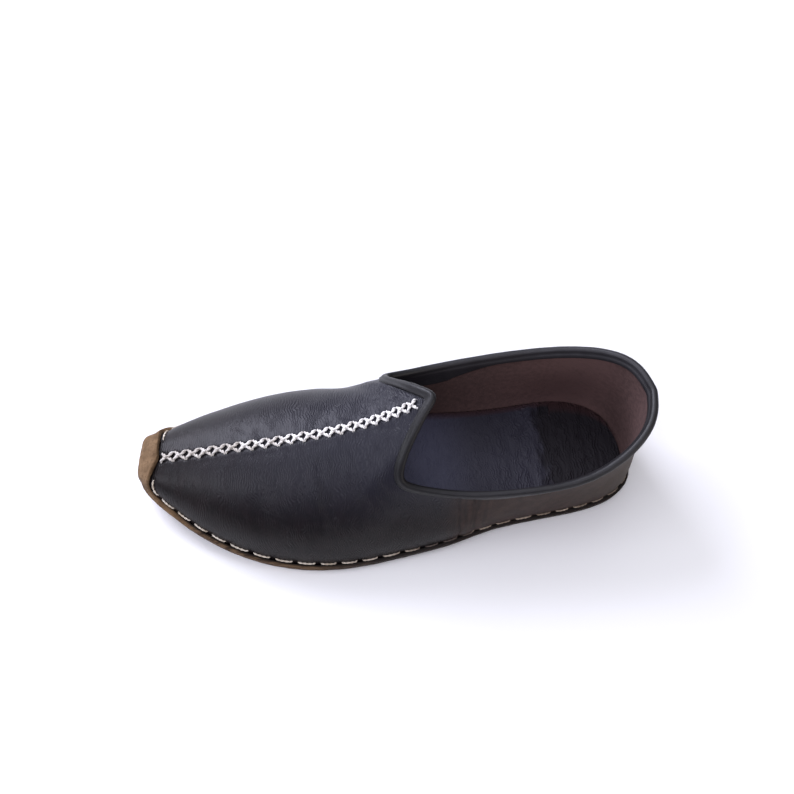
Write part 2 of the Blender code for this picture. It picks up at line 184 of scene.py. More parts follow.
# %% Finishes
class Finish:
    """A material, its shader, and the few nodes that most leathers need."""

    def __init__(self, name, **constants):
        self.material = bpy.data.materials.new(name)
        self.material.use_nodes = True
        self.tree = self.material.node_tree
        self.shader = self.tree.nodes["Principled BSDF"]
        self.shade(**constants)
        self.place = self.node("ShaderNodeTexCoord", output="Object")
        self.x, self.y, self.z = (
            self.node("ShaderNodeSeparateXYZ", sockets={"Vector": self.place}, output=axis)
            for axis in "XYZ"
        )

    def node(self, kind, settings=None, sockets=None, output=0):
        node = self.tree.nodes.new(kind)
        for key, value in (settings or {}).items():
            setattr(node, key, value)
        for key, value in (sockets or {}).items():
            feed(self.tree, node.inputs[key], value)
        return Wire(self.tree, node.outputs[output])

    def stretched(self, x_mm, y_mm, z_mm):
        """The place of a point, counted in grains of these sizes."""
        sizes = tuple(1 / (size * MM) for size in (x_mm, y_mm, z_mm))
        settings = {"operation": "MULTIPLY"}
        return self.node("ShaderNodeVectorMath", settings, {0: self.place, 1: sizes})

    def noise(self, vector, kind="FBM", **sockets):
        values = {"Vector": vector, "Scale": 1.0, **sockets}
        return self.node("ShaderNodeTexNoise", {"noise_type": kind}, values)

    def lines(self, spacing_mm, wander, ripple):
        """Lines across the shoe, bent slowly by wander and quickly by ripple, in spacings."""
        slow = self.noise(self.stretched(13, 13, 13), Detail=1.0)
        quick = self.noise(self.stretched(4, 4, 4), Detail=2.0)
        turns = self.x / (spacing_mm * MM) + wander * slow + ripple * quick
        sine = self.node("ShaderNodeMath", {"operation": "SINE"}, {0: 2 * math.pi * turns})
        return 0.5 + 0.5 * sine

    def marked(self, name):
        """The value that a piece keeps on its points under this name."""
        return self.node("ShaderNodeAttribute", {"attribute_name": name}, output="Fac")

    def fade(self, value, low, high):
        """0 below low, 1 above high, and smooth between them. Low may be the larger."""
        settings = {"interpolation_type": "SMOOTHSTEP"}
        sockets = {"Value": value, "From Min": low, "From Max": high}
        return self.node("ShaderNodeMapRange", settings, sockets)

    def blend(self, share, first, second):
        """Mix two colours, the second by share."""
        first, second = (c if isinstance(c, Wire) else (*c, 1.0) for c in (first, second))
        sockets = {0: share, 6: first, 7: second}
        return self.node("ShaderNodeMix", {"data_type": "RGBA"}, sockets, output=2)

    def bump(self, height, depth_mm):
        sockets = {"Height": height, "Distance": depth_mm * MM, "Strength": 1.0}
        return self.node("ShaderNodeBump", None, sockets)

    def shade(self, **values):
        for socket, value in values.items():
            feed(self.tree, self.shader.inputs[socket.replace("_", " ")], value)


f = Finish("pale_floor", Roughness=0.9)
mottle = f.noise(f.stretched(220, 220, 220), Detail=2.0)
f.shade(Base_Color=f.blend(mottle, (0.88, 0.88, 0.88), (0.92, 0.92, 0.92)))
floor.data.materials.append(f.material)
print("floor finish nodes:", len(f.tree.nodes))

# %% [markdown]
# ## Black upper leather
# The vamp is smooth black leather. Its grain is drawn into fine wrinkles that run across the shoe
# and are deepest beside the throat. They could be stretched noise, but that breaks up into specks,
# so they are sine lines along the shoe, which two noises bend and a third one fades. The leather is
# painted darker low down as shade, and paler and bluer on top as sheen. Behind the side seam the
# quarters are browner, duller, stained and streaked.

# %% Upper leather
QUARTER_START, QUARTER_FULL = -0.018, -0.040
HEEL_START, HEEL_FULL = -0.078, -0.130
LOW_SKIN, HIGH_SKIN = 0.024, 0.062

f = upper_finish = Finish("black_upper_leather", Specular_IOR_Level=0.21)
patches = f.noise(f.stretched(30, 26, 26), Detail=3.0)
stains = f.fade(f.noise(f.stretched(5, 8, 5), Detail=4.0), 0.3, 0.7)
flecks = f.fade(f.noise(f.stretched(1.3, 1.6, 1.2), Detail=3.0), 0.3, 0.7)
streaks = f.fade(f.noise(f.stretched(1.8, 30, 22), Detail=2.0), 0.40, 0.62)
by_seam = f.fade(f.x, -0.010, -0.024) * f.fade(f.x, -0.054, -0.040)
quarter = f.fade(f.x, QUARTER_START, QUARTER_FULL)

stained = 0.5 * patches + 0.5 * stains
# Painted shade and sheen: by height, the black is darker low down and paler and bluer on top.
shaded_low_black = f.blend(stained, (0.0028, 0.0020, 0.0024), (0.0082, 0.0044, 0.0050))
sheen_top_black = f.blend(patches, (0.0115, 0.0112, 0.0180), (0.0170, 0.0166, 0.0255))
black = f.blend(f.fade(f.z, LOW_SKIN, HIGH_SKIN), shaded_low_black, sheen_top_black)
worn = 0.3 * patches + 0.4 * stains + 0.3 * flecks
brown_black = f.blend(worn, (0.016, 0.0085, 0.0068), (0.050, 0.0295, 0.0235))
brown_black = f.blend(0.55 * streaks * by_seam, brown_black, (0.010, 0.0070, 0.0060))
heel_grey = f.blend(worn, (0.040, 0.0300, 0.0245), (0.066, 0.0500, 0.0410))
brown_black = f.blend(f.fade(f.x, HEEL_START, HEEL_FULL), brown_black, heel_grey)
skin_colour = f.blend(quarter, black, brown_black)

broken = f.fade(f.noise(f.stretched(5, 11, 11), Detail=1.0), 0.28, 0.72)
near_throat = f.fade(f.x, 0.105, 0.015) * f.fade(f.x, -0.045, -0.020)
grain = f.lines(1.3, 6.0, 2.6) * (0.4 + 0.6 * broken)
grain = grain * (0.38 + 0.62 * near_throat) * (1 - 0.75 * quarter)
pores = f.noise(f.stretched(0.55, 0.8, 0.8), Detail=2.0)
# Painted shade: the leather is darker in the dimples round the stitch holes.
f.shade(
    Base_Color=f.blend(0.7 * f.marked("pinch_and_shade"), skin_colour, (0.003, 0.0025, 0.0025)),
    Roughness=0.34 + 0.12 * patches + 0.22 * quarter,
    Normal=f.bump(grain + 0.25 * pores, 0.20),
)
print("upper finish nodes:", len(f.tree.nodes))

# %% [markdown]
# ## Binding and lining
# The binding is black leather without wrinkles, with a painted sheen that makes it paler towards
# the heel and on the inner side. The lining is brown with a short nap, so it is dull and mottled.
# Painted light makes it paler towards the heel, less so at the very back. Noise by place needs no
# unwrapped surface, as a painted picture would.

# %% Binding and lining leather
f = binding_finish = Finish("binding_leather_black", Specular_IOR_Level=0.31)
mottle = f.noise(f.stretched(9, 9, 9), Detail=3.0)
fine = f.noise(f.stretched(0.7, 0.7, 0.7), Detail=2.0)
# Painted sheen: paler towards the heel and on the inner side, darker towards the throat, mottled.
paleness = f.fade(f.x, 0.012, -0.040) * (0.45 + 0.55 * f.fade(f.y, 0.005, -0.030))
paleness = paleness * (0.6 + 0.8 * mottle)
f.shade(
    Base_Color=f.blend(paleness, (0.0045, 0.0041, 0.0050), (0.026, 0.0247, 0.0284)),
    Roughness=0.38 + 0.12 * mottle,
    Normal=f.bump(fine, 0.06),
)

f = lining_finish = Finish("brown_lining_leather", Roughness=0.9, Specular_IOR_Level=0.2)
nap = f.noise(f.stretched(0.6, 0.6, 0.6), Detail=3.0)
clouds = f.noise(f.stretched(16, 16, 12), Detail=4.0)
flecks = f.fade(f.noise(f.stretched(2.5, 2.5, 2.0), Detail=3.0), 0.3, 0.7)
# Painted light: the lining is paler towards the heel and darker again at the very back.
painted_heel_light = f.fade(f.x, -0.030, -0.110) - 0.8 * f.fade(f.x, -0.112, -0.130)
mottle_and_painted_light = painted_heel_light * (0.45 + 1.1 * clouds) + 0.4 * flecks - 0.12
f.shade(
    Base_Color=f.blend(mottle_and_painted_light, (0.072, 0.0435, 0.0415), (0.134, 0.0785, 0.0730)),
    Normal=f.bump(nap, 0.16),
)
print("binding nodes:", len(binding_finish.tree.nodes), "lining nodes:", len(f.tree.nodes))

# %% [markdown]
# ## Insole
# The insole is black and wrinkled across the foot, most of all before the line of the heel seat,
# and blacker behind that line. Its front is painted paler and bluer, as sheen. The wrinkles are the
# same bent lines as on the vamp, with ridged noise for the sharper creases. Its cut rim is brown.

# %% Insole leather
HEEL_SEAT_LINE = -0.0842
SEAT_FADE = 0.004

f = insole_finish = Finish("black_insole_leather", Specular_IOR_Level=0.18)
patches = f.noise(f.stretched(20, 20, 20), Detail=3.0)
wander = f.noise(f.stretched(6, 9, 9), Detail=3.0)
bent_x = f.x + 0.016 * (wander - 0.5)
heel_seat = f.fade(bent_x, HEEL_SEAT_LINE + SEAT_FADE, HEEL_SEAT_LINE - SEAT_FADE)
mid_black = f.blend(patches, (0.0195, 0.0185, 0.0280), (0.0325, 0.0312, 0.0455))
# Painted sheen: the front of the insole, in the shade of the vamp, is paler and bluer.
sheen_front_black = f.blend(f.fade(f.x, -0.050, -0.010), mid_black, (0.0690, 0.0705, 0.1130))
seat_black = f.blend(patches, (0.0068, 0.0056, 0.0078), (0.0125, 0.0104, 0.0140))
sock_black = f.blend(heel_seat, sheen_front_black, seat_black)

broken = f.fade(f.noise(f.stretched(4, 8, 8), Detail=2.0), 0.35, 0.62)
creases = f.noise(
    f.stretched(2.4, 9.0, 9.0), kind="RIDGED_MULTIFRACTAL", Detail=3.0, Distortion=0.6
)
wrinkles = f.lines(1.9, 6.0, 3.0) * broken + creases
wrinkles = wrinkles * (0.45 + 0.55 * f.fade(f.x, -0.050, HEEL_SEAT_LINE))
pores = f.noise(f.stretched(0.6, 0.6, 0.6), Detail=2.0)
f.shade(
    Base_Color=f.blend(0.7 * f.marked("rim"), sock_black, (0.085, 0.042, 0.042)),
    Roughness=0.42 + 0.12 * patches + 0.16 * heel_seat,
    Normal=f.bump(wrinkles + 0.5 * pores, 0.36),
)
print("insole nodes:", len(f.tree.nodes))

# %% [markdown]
# ## Sole
# The sole is tan leather: rough, specked and pale on the beak, streaked along the lip, and dark
# from the ball to the heel. Each stretch could be a material of its own, but one finish with
# soft fades along the shoe has no hard borders. Painted shade darkens the groove beside the upper.

# %% Sole leather
BALL_EDGE, WAIST_EDGE = 0.060, 0.010

f = sole_finish = Finish("tan_sole_leather", Specular_IOR_Level=0.25)
fibre = f.noise(f.stretched(1.3, 0.8, 0.8), Detail=5.0)
paleness = f.noise(f.stretched(8, 8, 6), Detail=4.0)
darkened = f.fade(f.x + 0.03 * (paleness - 0.5), BALL_EDGE, WAIST_EDGE)
streaks = f.noise(f.stretched(9, 2.2, 1.1), Detail=3.0, Distortion=0.6)
specks = f.noise(f.stretched(1.6, 1.6, 1.6), Detail=3.0)
beak_tan = f.blend(f.fade(paleness, 0.30, 0.70), (0.100, 0.059, 0.029), (0.205, 0.128, 0.070))
beak_tan = f.blend(0.55 * f.fade(specks, 0.48, 0.70), beak_tan, (0.072, 0.041, 0.020))
lip_tan = f.blend(f.fade(streaks, 0.36, 0.64), (0.040, 0.0240, 0.0150), (0.148, 0.0930, 0.0530))
tan = f.blend(f.fade(f.x, 0.102, 0.120), lip_tan, beak_tan)
dark_sole = f.blend(paleness, (0.010, 0.0065, 0.0055), (0.024, 0.0150, 0.0115))
hide = f.blend(darkened, tan, dark_sole)
# Painted shade: the sole is darker in the groove beside the upper.
f.shade(
    Base_Color=f.blend(0.9 * f.marked("painted_groove_shade"), hide, (0.0090, 0.0065, 0.0055)),
    Roughness=0.92 - 0.2 * darkened,
    Normal=f.bump(fibre, 0.35),
)
print("sole nodes:", len(f.tree.nodes))

# %% [markdown]
# ## Thread
# The cross-stitch is white and a little soiled towards the toe. The waxed thread of the running
# stitch is cream at the toe, grubbier towards the heel, and almost black at the waist, where the
# shoe bends most, and at the back of the heel. The twist of the plies is modelled further down, so
# the finish adds only dirt and fibres.

# %% Thread
f = thread_finish = Finish("white_seam_thread", Roughness=0.8, Specular_IOR_Level=0.3)
soil = f.noise(f.stretched(5, 5, 5), Detail=3.0) + 0.25 * f.fade(f.x, 0.03, 0.10)
fibres = f.noise(f.stretched(0.3, 0.3, 0.3), Detail=2.0)
f.shade(
    Base_Color=f.blend(f.fade(soil, 0.42, 0.85), (0.86, 0.84, 0.82), (0.52, 0.48, 0.44)),
    Normal=f.bump(fibres, 0.08),
)

f = waxed_finish = Finish("waxed_sole_thread", Roughness=0.7, Specular_IOR_Level=0.35)
soil = f.fade(f.noise(f.stretched(7, 7, 7), Detail=3.0), 0.35, 0.75)
fibres = f.noise(f.stretched(0.3, 0.3, 0.3), Detail=2.0)
clean = f.blend(soil, (0.70, 0.635, 0.55), (0.47, 0.395, 0.305))
grubby = f.blend(soil, (0.44, 0.36, 0.285), (0.20, 0.150, 0.110))
run_colour = f.blend(f.fade(f.x, 0.07, -0.05), clean, grubby)
at_waist = 0.85 * f.fade(f.x, -0.006, -0.013) * f.fade(f.x, -0.042, -0.037)
blackened = at_waist + 0.55 * f.fade(f.x, -0.100, -0.114)
f.shade(
    Base_Color=f.blend(blackened, run_colour, (0.050, 0.034, 0.031)),
    Normal=f.bump(fibres, 0.08),
)
print("threads:", thread_finish.material.name, waxed_finish.material.name)

# %% [markdown]
# ## Working on a copy of a solid
# A solid arrives as loose triangles. Its copy is welded, and pairs of triangles become quads
# again, because a subdivision surface runs smoothly over quads. Each operator acts on whatever is
# selected, so these helpers make one piece the only selected and active one.

# %% Helpers for operators
WELD = 0.01 * MM
PAIR_ANGLE = math.radians(60)


def pick(*pieces):
    """Select these pieces alone, with the first one active."""
    if bpy.context.object and bpy.context.object.mode != "OBJECT":
        bpy.ops.object.mode_set(mode="OBJECT")
    bpy.ops.object.select_all(action="DESELECT")
    for piece in pieces:
        piece.select_set(True)
    bpy.context.view_layer.objects.active = pieces[0]


def edit(piece, select="SELECT"):
    pick(piece)
    bpy.ops.object.mode_set(mode="EDIT")
    bpy.ops.mesh.select_all(action=select)


def done():
    bpy.ops.object.mode_set(mode="OBJECT")


def welded_copy(node, name):
    """A copy of a solid with its triangles welded and paired into quads."""
    piece = bpy.data.objects.new(name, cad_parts[node].data.copy())
    bpy.context.scene.collection.objects.link(piece)
    piece.data.materials.clear()
    edit(piece)
    bpy.ops.mesh.remove_doubles(threshold=WELD)
    bpy.ops.mesh.tris_convert_to_quads(face_threshold=PAIR_ANGLE, shape_threshold=PAIR_ANGLE)
    done()
    return piece


def apply_modifier(piece, kind, **settings):
    pick(piece)
    modifier = piece.modifiers.new(kind.lower(), kind)
    for key, value in settings.items():
        setattr(modifier, key, value)
    bpy.ops.object.modifier_apply(modifier=modifier.name)


def subdivide(piece, levels, kind="CATMULL_CLARK"):
    apply_modifier(piece, "SUBSURF", levels=levels, render_levels=levels, subdivision_type=kind)


triangles = {name: len(node.data.polygons) for name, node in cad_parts.items()}
print("triangles of the solids:", triangles)

# %% [markdown]
# ## Moving many points at once
# Creases and rough hide are small moves of thousands of points. Arrays do that quickly: the points
# and normals of a piece are read into one, changed by sums, and written back.

# %% Helpers for points
def points_of(piece):
    flat = np.empty(len(piece.data.vertices) * 3)
    piece.data.vertices.foreach_get("co", flat)
    return flat.reshape(-1, 3)


def normals_of(piece):
    flat = np.empty(len(piece.data.vertices) * 3)
    piece.data.vertices.foreach_get("normal", flat)
    return flat.reshape(-1, 3)


def move_points(piece, points):
    piece.data.vertices.foreach_set("co", np.ascontiguousarray(points).ravel())
    piece.data.update()


def mark_points(piece, name, values):
    """Keep one value per point on a piece, for its finish to read."""
    mark = piece.data.attributes.new(name, "FLOAT", "POINT")
    mark.data.foreach_set("value", values)


def surface_of(piece):
    """A search tree for the nearest place on a piece."""
    work = bmesh.new()
    work.from_mesh(piece.data)
    tree = BVHTree.FromBMesh(work)
    work.free()
    return tree


def smooth(low, high, value):
    """0 at low, 1 at high, and smooth between them. Low may be the larger."""
    t = np.clip((value - low) / (high - low), 0, 1)
    return t * t * (3 - 2 * t)


def swell(apart, width):
    """1 where apart is 0, dying away over the width on both sides."""
    return np.exp(-((apart / width) ** 2))


print("a swell half its width away:", round(float(swell(0.5, 1.0)), 2))

# %% [markdown]
# ## The wall of the upper in two skins
# The solid upper is one wall. On the real shoe it is a black outer leather and a brown lining
# sewn together. Splitting the sharp edges of the rim makes the outer face and the inner face loose
# parts, and Separate turns them into objects. The outer face has the largest area and the inner
# face the next. The small rim faces are deleted, because the binding and the sole cover them. The
# outer skin is subdivided more finely than the lining, for it carries the creases and the seams.

# %% Split the wall into its skins
RIM_ANGLE = math.radians(70)
SKIN_LEVELS = 3
LINING_LEVELS = 2


def area_of(piece):
    return sum(face.area for face in piece.data.polygons)


wall = welded_copy("upper", "upper")
edit(wall, "DESELECT")
bpy.ops.mesh.edges_select_sharp(sharpness=RIM_ANGLE)
bpy.ops.mesh.edge_split()
bpy.ops.mesh.separate(type="LOOSE")
done()
upper, lining, *rims = sorted(bpy.context.selected_objects, key=area_of, reverse=True)
pick(*rims)
bpy.ops.object.delete()
upper.name = upper.data.name = "upper_and_lining"
lining.name = lining.data.name = "lining"
subdivide(upper, SKIN_LEVELS)
subdivide(lining, LINING_LEVELS)
for piece in (upper, lining):
    pick(piece)
    bpy.ops.object.shade_smooth()
print("outer skin faces:", len(upper.data.polygons), "lining faces:", len(lining.data.polygons))

# %% [markdown]
# ## The sole
# The sole is one piece of tan leather. Its solid already has the turned-up lip and the beak, so
# its copy is smoothed with creased cut edges. Smoothing rounds the beak too much. Its points are
# therefore drawn towards four flat faces, along lines from the beak's core.

# %% Smooth the sole and sharpen the beak
SOLE_LEVELS = 2
SHARP_ANGLE = math.radians(50)
CUT_EDGE_CREASE = 0.8
BEAK_CORE = np.array([126.0, -12.0, 15.0])
BeakFace = namedtuple("BeakFace", "place point normal")
BEAK_FACES = [
    BeakFace("front", (136.9, -13.0, 16.0), (0.985, -0.121, 0.12)),
    BeakFace("top", (136.4, -13.0, 20.2), (0.62, -0.075, 0.78)),
    BeakFace("outer side", (137.9, -4.5, 16.0), (0.79, 0.60, 0.10)),
    BeakFace("inner side", (135.6, -25.0, 16.0), (0.585, -0.80, 0.12)),
]
EDGE_SHARPNESS = 14
FLATTEN_SHARE = 0.6
LEAST_REACH, MOST_REACH = 0.7, 1.5

sole = welded_copy("outsole", "sole")
edit(sole, "DESELECT")
bpy.ops.mesh.edges_select_sharp(sharpness=SHARP_ANGLE)
bpy.ops.transform.edge_crease(value=CUT_EDGE_CREASE)
done()
subdivide(sole, SOLE_LEVELS)

places, outward = points_of(sole) / MM, normals_of(sole)
from_core = places - BEAK_CORE
reach = np.zeros(len(places))
for face in BEAK_FACES:
    normal = np.array(face.normal) / np.linalg.norm(face.normal)
    height = normal @ (np.array(face.point) - BEAK_CORE)
    reach += np.clip(from_core @ normal / height, 0, None) ** EDGE_SHARPNESS
reach = np.maximum(reach, 1e-6) ** (1 / EDGE_SHARPNESS)
facing = (outward * from_core).sum(axis=1) / np.linalg.norm(from_core, axis=1)
share = smooth(0.1, 0.4, facing) * smooth(11, 14, places[:, 2])
filled, flattened = smooth(128, 133, places[:, 0]), FLATTEN_SHARE * smooth(123, 130, places[:, 0])
share *= np.where(reach < 1, filled, flattened)
places += share[:, None] * from_core * (1 / np.clip(reach, LEAST_REACH, MOST_REACH) - 1)[:, None]
print("sole points drawn to the beak's faces:", int((share > 0.5).sum()))

# %% [markdown]
# ## The rough hide of the sole
# Low lumps lie all over the sole, and finer grit that is rougher on the beak. The underside stays
# flat, because it stands on the floor. The noise is a fixed function of place, so it is the same on
# every run.

# %% Roughen the hide
LUMP_SIZE, LUMP_DEPTH = 6, 0.14
GRIT_SIZE, GRIT_DEPTH, BEAK_GRIT_DEPTH = 1.8, 0.05, 0.10

lumps = np.array([noise.noise(Vector(p) / LUMP_SIZE) for p in places])
grit = np.array([noise.noise(Vector(p) / GRIT_SIZE) for p in places])
grit *= GRIT_DEPTH + BEAK_GRIT_DEPTH * smooth(112, 124, places[:, 0])
rough = (LUMP_DEPTH * lumps + grit) * smooth(0.4, 1.6, places[:, 2])
move_points(sole, (places + outward * rough[:, None]) * MM)
sole.data.materials.append(sole_finish.material)
pick(sole)
bpy.ops.object.shade_smooth_by_angle(angle=SHARP_ANGLE)
print("sole faces:", len(sole.data.polygons))

# %% [markdown]
# ## Lines on the leather
# The seams and the bead are lines of points. One helper finds the open edges of a sheet as rings,
# one measures along a line, one reads places off it, and one softens a closed ring.

# %% Helpers for lines
def open_loops(piece):
    """The open edges of a sheet as rings of point numbers, the highest ring first."""
    next_to = {}
    uses = {}
    for face in piece.data.polygons:
        for key in face.edge_keys:
            uses[key] = uses.get(key, 0) + 1
    for (a, b), count in uses.items():
        if count == 1:
            next_to.setdefault(a, []).append(b)
            next_to.setdefault(b, []).append(a)
    places = points_of(piece)
    rings = []
    left = set(next_to)
    while left:
        first = min(left, key=lambda i: tuple(places[i]))
        ring = [first]
        here = max(next_to[first], key=lambda i: places[i][1])
        while here != first:
            ring.append(here)
            here = next(i for i in next_to[here] if i != ring[-2])
        rings.append(ring)
        left -= set(ring)
    return sorted(rings, key=lambda ring: -places[ring, 2].mean())


def along_line(line):
    """How far along a line each of its points is."""
    return np.concatenate([[0], np.cumsum(np.linalg.norm(np.diff(line, axis=0), axis=1))])


def resampled(line, places):
    length = along_line(line)
    return np.column_stack([np.interp(places, length, line[:, k]) for k in range(3)])


def softened(ring, reach):
    """A closed ring with each point at the mean of its neighbours within reach."""
    return np.mean([np.roll(ring, k, axis=0) for k in range(-reach, reach + 1)], axis=0)


collar_ring, foot_ring = open_loops(upper)
print("collar points:", len(collar_ring), "foot points:", len(foot_ring))

# %% [markdown]
# ## Where the running stitch runs
# It lies on the upper just above the sole's lip. The line is found by walking up the outer skin
# from its foot, in small steps, until the sole is a set distance away. That distance grows towards
# the toe, so that the line follows the beak's edge.

# %% Trace the sole seam
WALK_STEP = 0.4 * MM
MOST_STEPS = 200
SEAM_SOFTENING = 3
Clearance = namedtuple("Clearance", "place x gap")
CLEARANCES = [
    Clearance("waist", 20, 0.9),
    Clearance("ball", 50, 1.4),
    Clearance("toes", 92, 1.6),
    Clearance("beside the beak", 108, 2.1),
]
BEAK_TUCK = 1.0
INNER_TOE_EXTRA = 1.6


def stitch_clearance(x, y):
    """How far the line stays off the sole at a place seen from above, all in millimetres."""
    gap = np.interp(x, [row.x for row in CLEARANCES], [row.gap for row in CLEARANCES])
    gap -= BEAK_TUCK * smooth(112, 120, x) * smooth(4, -8, y)
    return gap + INNER_TOE_EXTRA * smooth(90, 112, x) * smooth(-17, -28, y)


skin = surface_of(upper)
sole_surface = surface_of(sole)
sole_seam = []
for number in foot_ring[::2]:
    place = upper.data.vertices[number].co
    for _ in range(MOST_STEPS):
        place, normal, _, _ = skin.find_nearest(place)
        clearance = stitch_clearance(place.x / MM, place.y / MM) * MM
        if sole_surface.find_nearest(place)[3] >= clearance:
            break
        place = place + (UP - normal * normal.dot(UP)).normalized() * WALK_STEP
    sole_seam.append(place)
sole_seam = softened(np.array(sole_seam), SEAM_SOFTENING)
sole_seam = np.array([skin.find_nearest(p)[0] for p in sole_seam])
print("sole seam points:", len(sole_seam))

# %% [markdown]
# ## Where the centre seam runs
# The seam closes the vamp from the throat to the beak. A short table gives its places seen from
# above, in millimetres, and a ray from above finds its height on the skin.

# %% Trace the centre seam
RAY_HEIGHT = 200
SEAM_END_X = 123.9 * MM
SEAM_SPACING = 0.5
BLUR = 20
CentreSeam = namedtuple("CentreSeam", "place x y")
CENTRE_SEAM = [
    CentreSeam("throat peak", -15.5, -2.3),
    CentreSeam("below the throat", -0.5, -1.5),
    CentreSeam("instep", 18.5, -1.0),
    CentreSeam("ball", 44.5, -1.1),
    CentreSeam("toes", 69.5, -2.2),
    CentreSeam("toe taper", 91.5, -4.0),
    CentreSeam("behind the beak", 110.0, -6.1),
    CentreSeam("beak", 122.0, -8.3),
    CentreSeam("under the beak", 126.0, -9.2),
]

seam_x = np.arange(CENTRE_SEAM[0].x, CENTRE_SEAM[-1].x, SEAM_SPACING)
seam_y = np.interp(seam_x, [row.x for row in CENTRE_SEAM], [row.y for row in CENTRE_SEAM])
window = 2 * BLUR + 1
seam_y = np.convolve(np.pad(seam_y, BLUR, mode="edge"), np.full(window, 1 / window), mode="valid")
centre_seam = []
for x, y in zip(seam_x, seam_y):
    hit = skin.ray_cast(Vector((x, y, RAY_HEIGHT)) * MM, -UP)[0]
    if hit and hit.x < SEAM_END_X:
        centre_seam.append(hit)
centre_seam = np.array(centre_seam)[::-1]
print("centre seam:", round(along_line(centre_seam)[-1] / MM), "mm")

# %% [markdown]
# ## The groove between lip and upper
# Shade falls where the lip meets the upper, and it is painted there. The points of the sole that
# lie close to the skin are marked, and the sole's finish is painted dark there. A strip of darker
# faces would have a hard edge, but a value on the points fades softly. The beak is left out.

# %% Mark the groove
GROOVE_EDGE, GROOVE_FULL = 1.9, 0.9

sole_places = points_of(sole)
from_skin = np.array([skin.find_nearest(p)[3] for p in sole_places]) / MM
painted_groove_shade = smooth(GROOVE_EDGE, GROOVE_FULL, from_skin) * smooth(120, 110, sole_places[:, 0] / MM)
mark_points(sole, "painted_groove_shade", painted_groove_shade)
print("points in the groove:", int((painted_groove_shade > 0.5).sum()))

# %% [markdown]
# ## Where each stitch goes in and out
# A running stitch shows a dash, dives through a hole and comes up again after a short gap. The
# dashes of the outer side start at measured places, in millimetres from the toe, and those of the
# inner side are spaced evenly.

# %% Place the running stitches
DASH_PITCH = 11.2 * MM
DASH_GAP = 2.3 * MM
OUTER_DASHES = [
    12, 24, 35, 46, 57, 68, 81, 93, 105, 117, 128, 139, 150,
    162, 173, 183, 194, 204, 214, 225, 237, 248, 258, 269, 279, 290,
]
FIRST_INNER_DASH = 12.0 * MM
LOOK_AHEAD = 20

toe_start = int(np.argmin(np.linalg.norm(sole_seam - centre_seam[0], axis=1)))
sole_run = np.roll(sole_seam, -toe_start, axis=0)
if sole_run[LOOK_AHEAD][1] < sole_run[0][1]:
    sole_run = np.roll(sole_run[::-1], 1, axis=0)
sole_run = np.vstack([sole_run, sole_run[:1]])
run_length = along_line(sole_run)[-1]
outer_starts = np.array(OUTER_DASHES) * MM
inner_room = run_length - FIRST_INNER_DASH - outer_starts[-1]
inner_count = round(inner_room / DASH_PITCH)
inner_starts = outer_starts[-1] + inner_room / inner_count * np.arange(1, inner_count)
starts = np.concatenate([outer_starts, inner_starts])
ends = np.append(starts[1:], run_length - FIRST_INNER_DASH + DASH_GAP) - DASH_GAP
dashes = list(zip(starts, ends))
sole_holes = resampled(sole_run, np.ravel(dashes))
print("dashes:", len(dashes), "on a run of", round(run_length / MM), "mm")

# %% [markdown]
# ## Where the crosses go
# The cross-stitches share their holes, so that the chain reads as a row of crosses with a dark
# diamond between each pair. The crosses shorten a little from the toe to the throat.

# %% Place the cross-stitches
CROSS_PITCH_TOE = 7.9 * MM
CROSS_PITCH_THROAT = 5.8 * MM
CROSS_HALF_WIDTH = 2.85 * MM
CROSSES = 21
LITTLE_AHEAD = 0.5 * MM

pitches = np.linspace(CROSS_PITCH_TOE, CROSS_PITCH_THROAT, CROSSES)
cross_places = np.concatenate([[0], np.cumsum(pitches)])
cross_middle = resampled(centre_seam, cross_places)
cross_ahead = resampled(centre_seam, cross_places + LITTLE_AHEAD) - cross_middle
cross_side = np.cross([0, 0, 1], cross_ahead)
cross_side /= np.linalg.norm(cross_side, axis=1, keepdims=True)
cross_holes = {}
for side in (1, -1):
    holes = cross_middle + side * CROSS_HALF_WIDTH * cross_side
    hits = [skin.ray_cast(Vector((*p[:2], RAY_HEIGHT * MM)), -UP)[0] for p in holes]
    cross_holes[side] = np.array(hits)
print("crosses:", CROSSES, "on", round(cross_places[-1] / MM), "mm of seam")

# %% [markdown]
# ## Creases, seams and pinched leather
# Leather gives a shoe its life through small departures from the smooth form: a trough along the
# centre seam, lines where the quarters are sewn to the vamp, dimples where a thread pulls, folds by
# the throat and slow waves all over. Each is a soft bump or dent along the surface normal, placed
# in the shoe's own millimetres. Waves and folds fade out at the collar and the foot, where the skin
# is held.

# %% Helpers for creases
Fold = namedtuple("Fold", "place start end width depth")
FOLDS = [
    Fold("throat corner, outer", (10, 30, 45), (34, 41, 26), 5.0, 0.45),
    Fold("throat corner, outer low", (0, 36, 38), (14, 47, 20), 4.5, 0.35),
    Fold("throat corner, inner", (12, -33, 45), (36, -40, 26), 5.0, 0.45),
    Fold("instep, outer", (16, 8, 63), (40, 36, 38), 7.0, 0.40),
    Fold("instep, inner", (18, -12, 62), (42, -34, 38), 7.0, 0.40),
    Fold("toe crease, outer", (78, 12, 38), (64, 44, 16), 6.0, 0.35),
    Fold("toe crease, inner", (84, -18, 34), (70, -44, 16), 6.0, 0.35),
]


def near_points(points, centres, radius):
    """A soft dot of the given radius round each centre, as one value per point."""
    total = np.zeros(len(points))
    for centre in centres:
        close = np.abs(points - centre).max(axis=1) < 3 * radius
        apart = ((points[close] - centre) ** 2).sum(axis=1)
        total[close] = np.maximum(total[close], np.exp(-apart / radius**2))
    return total


